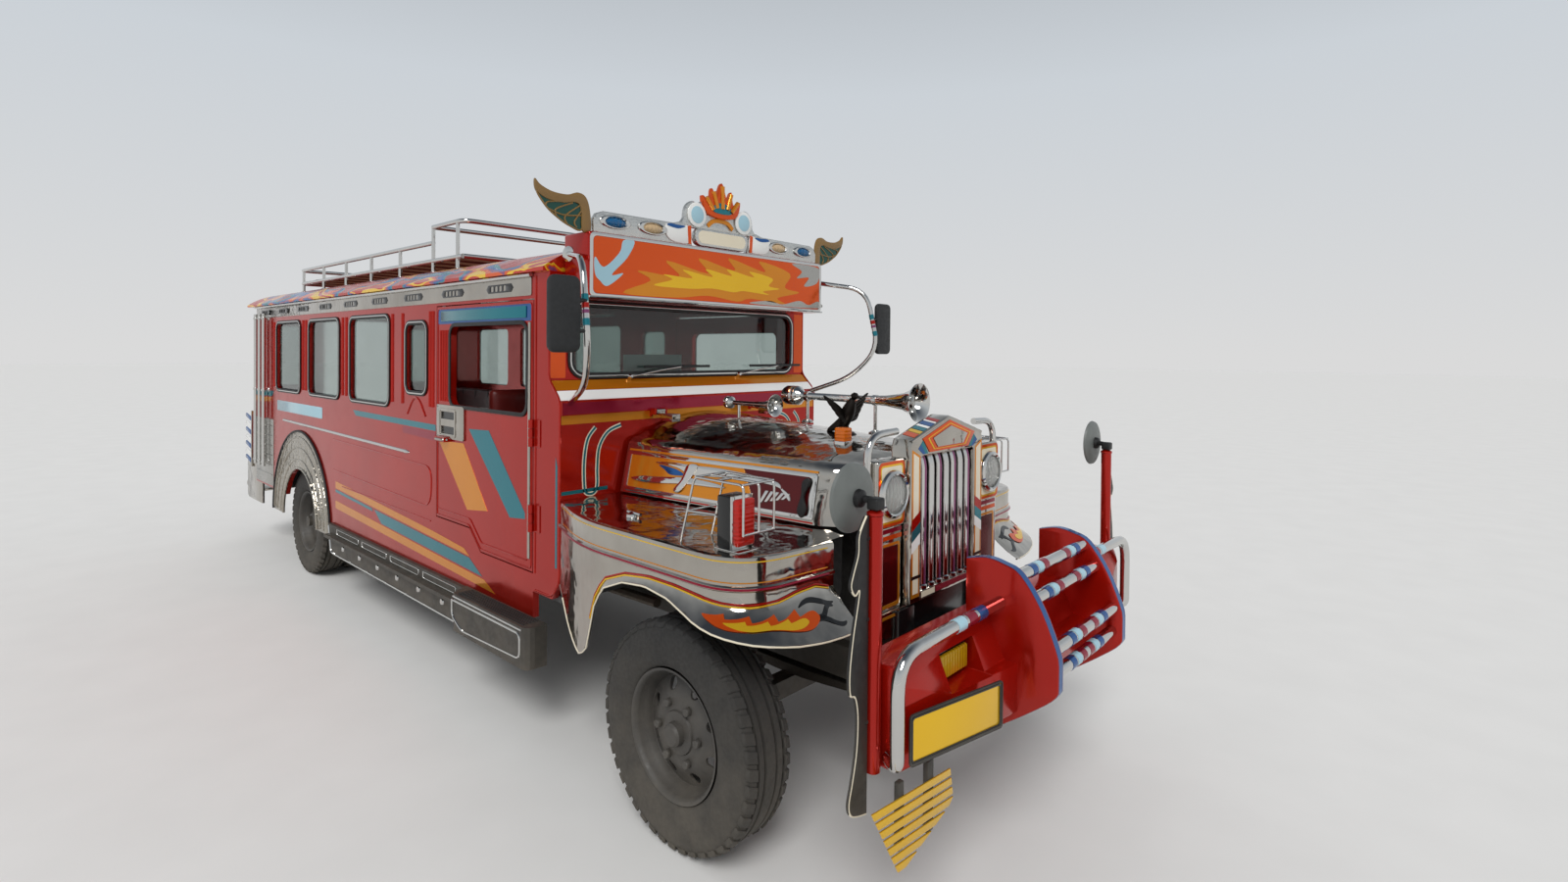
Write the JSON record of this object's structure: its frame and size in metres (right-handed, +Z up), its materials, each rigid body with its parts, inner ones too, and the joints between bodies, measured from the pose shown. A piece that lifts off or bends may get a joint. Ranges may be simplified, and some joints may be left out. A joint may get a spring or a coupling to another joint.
{
  "type": "jeepney",
  "caption": "Long-nosed passenger jeepney with side benches, rear doorway, roof rack, hinged bonnet and cab doors, turning wheels and linked front steering.",
  "frame": {"origin": "on the ground below the middle of the vehicle's bounding box", "axes": "+X forward, +Y to the vehicle's left, +Z up"},
  "size_m": [7.2989, 2.22, 2.545],
  "materials": {
    "body_paint": "gloss",
    "roof_paint": "gloss",
    "bumper_paint": "gloss",
    "sign_paint": "gloss",
    "polished_steel": "polished",
    "chassis_paint": "satin",
    "floor_paint": "satin",
    "spring_steel": "dull",
    "cast_iron": "rough",
    "exhaust_steel": "dull",
    "clear_glass": "clear",
    "seal_rubber": "matte",
    "seat_steel": "satin",
    "seat_cover": "semi-gloss",
    "trim_plastic": "matte",
    "radiator_black": "matte",
    "lamp_lens": "gloss",
    "amber_lens": "gloss",
    "mirror_housing": "gloss",
    "plate_yellow": "gloss",
    "rack_slats": "satin",
    "skirt_black": "gloss",
    "tyre_rubber": "matte",
    "rim_paint": "satin"
  },
  "bodies": {
    "body": {"chassis_frame": "chassis_paint", "front_axle": "chassis_paint", "rear_axle": "chassis_paint", "leaf_springs": "spring_steel", "engine_block": "cast_iron", "drive_shaft": "chassis_paint", "exhaust_pipe": "exhaust_steel", "fuel_tank": "chassis_paint", "floor_pan": "floor_paint", "side_wall_right": "body_paint", "side_wall_left": "body_paint", "cowl": "body_paint", "roof_shell": "roof_paint", "rear_wall": "body_paint", "glazing": "clear_glass", "window_seals": "seal_rubber", "seat_frames": "seat_steel", "seat_cushions": "seat_cover", "dashboard": "trim_plastic", "steering_wheel": "trim_plastic", "grille_shell": "polished_steel", "grille_tubes": "polished_steel", "radiator": "radiator_black", "headlamp_boxes": "polished_steel", "lamp_guards": "polished_steel", "lamps": "lamp_lens", "fender_right": "polished_steel", "fender_left": "polished_steel", "bumper_beam": "bumper_paint", "bumper_plates": "bumper_paint", "bumper_tubes": "polished_steel", "bumper_posts": "bumper_paint", "mirrors": "mirror_housing", "mirror_arms": "polished_steel", "number_plates": "plate_yellow", "header_sign": "sign_paint", "sign_crest": "sign_paint", "roof_rack": "polished_steel", "rack_floor": "rack_slats", "rear_step": "polished_steel", "grab_rails": "polished_steel", "running_boards": "skirt_black", "wheel_flares": "polished_steel"},
    "bonnet": {"bonnet": "polished_steel", "bonnet_ornaments": "polished_steel", "marker_lamps": "amber_lens"},
    "door_right": {"door_right": "body_paint"},
    "door_left": {"door_left": "body_paint"},
    "knuckle_right": {"knuckle_right": "chassis_paint"},
    "knuckle_left": {"knuckle_left": "chassis_paint"},
    "tie_rod": {"tie_rod": "chassis_paint"},
    "wheel_front_right": {"tyre_front_right": "tyre_rubber", "rim_front_right": "rim_paint"},
    "wheel_front_left": {"tyre_front_left": "tyre_rubber", "rim_front_left": "rim_paint"},
    "wheels_rear_right": {"tyres_rear_right": "tyre_rubber", "rims_rear_right": "rim_paint"},
    "wheels_rear_left": {"tyres_rear_left": "tyre_rubber", "rims_rear_left": "rim_paint"}
  },
  "joints": [
    {"name": "steer_right", "type": "hinge", "parent": "body", "child": "knuckle_right", "pos_m": [2.57, -0.68, 0.39], "axis": [0, 0, 1], "range_deg": [-32, 32]},
    {"name": "steer_left", "type": "hinge", "parent": "body", "child": "knuckle_left", "pos_m": [2.57, 0.68, 0.39], "axis": [0, 0, 1], "range_deg": [-34, 34]},
    {"name": "tie_rod_pivot", "type": "hinge", "parent": "knuckle_right", "child": "tie_rod", "pos_m": [2.42, -0.68, 0.295], "axis": [0, 0, 1], "range_deg": [-34, 34]},
    {"name": "spin_front_right", "type": "hinge", "parent": "knuckle_right", "child": "wheel_front_right", "pos_m": [2.57, -0.848, 0.39], "axis": [0, 1, 0], "continuous": true},
    {"name": "spin_front_left", "type": "hinge", "parent": "knuckle_left", "child": "wheel_front_left", "pos_m": [2.57, 0.848, 0.39], "axis": [0, 1, 0], "continuous": true},
    {"name": "spin_rear_right", "type": "hinge", "parent": "body", "child": "wheels_rear_right", "pos_m": [-1.9, -0.5975, 0.39], "axis": [0, 1, 0], "continuous": true},
    {"name": "spin_rear_left", "type": "hinge", "parent": "body", "child": "wheels_rear_left", "pos_m": [-1.9, 0.5975, 0.39], "axis": [0, 1, 0], "continuous": true},
    {"name": "door_hinge_right", "type": "hinge", "parent": "body", "child": "door_right", "pos_m": [1.48, -0.854, 1.14], "axis": [0, 0, 1], "range_deg": [0, 70]},
    {"name": "door_hinge_left", "type": "hinge", "parent": "body", "child": "door_left", "pos_m": [1.48, 0.854, 1.14], "axis": [0, 0, -1], "range_deg": [0, 70]},
    {"name": "bonnet_hinge", "type": "hinge", "parent": "body", "child": "bonnet", "pos_m": [1.734, 0, 1.418], "axis": [0, -1, 0], "range_deg": [0, 48]}
  ],
  "couplings": [
    {"joint": "steer_left", "follows": "steer_right", "ratio": 1},
    {"joint": "tie_rod_pivot", "follows": "steer_right", "ratio": -1}
  ]
}
